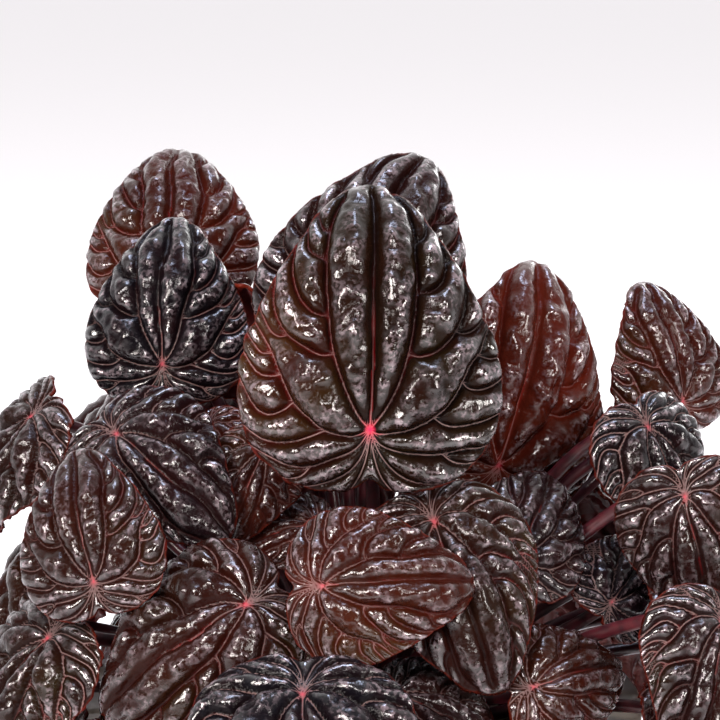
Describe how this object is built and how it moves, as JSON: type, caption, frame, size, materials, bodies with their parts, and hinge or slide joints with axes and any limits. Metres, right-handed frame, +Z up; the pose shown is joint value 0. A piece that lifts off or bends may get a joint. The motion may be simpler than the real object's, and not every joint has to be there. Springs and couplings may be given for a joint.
{
  "type": "potted plant",
  "caption": "Bushy potted houseplant: a dome of heart-shaped, deeply rippled dark burgundy leaves on red stalks over a plain tapered round pot.",
  "frame": {"origin": "centre of the pot's flat underside", "axes": "+Z up along the pot's axis; the side of the plant that the picture shows faces -Y"},
  "size_m": [0.1463, 0.1508, 0.1927],
  "materials": {
    "pot": "matte",
    "soil": "matte",
    "stem": "satin",
    "leaf": "gloss"
  },
  "bodies": {
    "root": {"pot": "pot", "soil": "soil", "crown": "stem", "leaf_01": "leaf", "leaf_02": "leaf", "leaf_03": "leaf", "leaf_04": "leaf", "leaf_05": "leaf", "leaf_06": "leaf", "leaf_07": "leaf", "leaf_08": "leaf", "leaf_09": "leaf", "leaf_10": "leaf", "leaf_11": "leaf", "leaf_12": "leaf", "leaf_13": "leaf", "leaf_14": "leaf", "leaf_15": "leaf", "leaf_16": "leaf", "leaf_17": "leaf", "leaf_18": "leaf", "leaf_19": "leaf", "leaf_20": "leaf", "leaf_21": "leaf", "leaf_22": "leaf", "leaf_23": "leaf", "leaf_24": "leaf", "leaf_25": "leaf", "leaf_26": "leaf", "leaf_27": "leaf", "leaf_28": "leaf", "leaf_29": "leaf", "leaf_30": "leaf", "leaf_31": "leaf", "leaf_32": "leaf", "leaf_33": "leaf", "leaf_34": "leaf", "leaf_35": "leaf", "leaf_36": "leaf", "leaf_37": "leaf", "leaf_38": "leaf", "leaf_39": "leaf", "leaf_40": "leaf", "leaf_41": "leaf", "leaf_42": "leaf", "leaf_43": "leaf", "leaf_44": "leaf", "leaf_45": "leaf", "leaf_46": "leaf", "leaf_47": "leaf", "leaf_48": "leaf", "leaf_49": "leaf", "leaf_50": "leaf", "leaf_51": "leaf", "leaf_52": "leaf", "leaf_53": "leaf", "leaf_54": "leaf", "leaf_55": "leaf", "leaf_56": "leaf", "leaf_57": "leaf"}
  },
  "joints": []
}
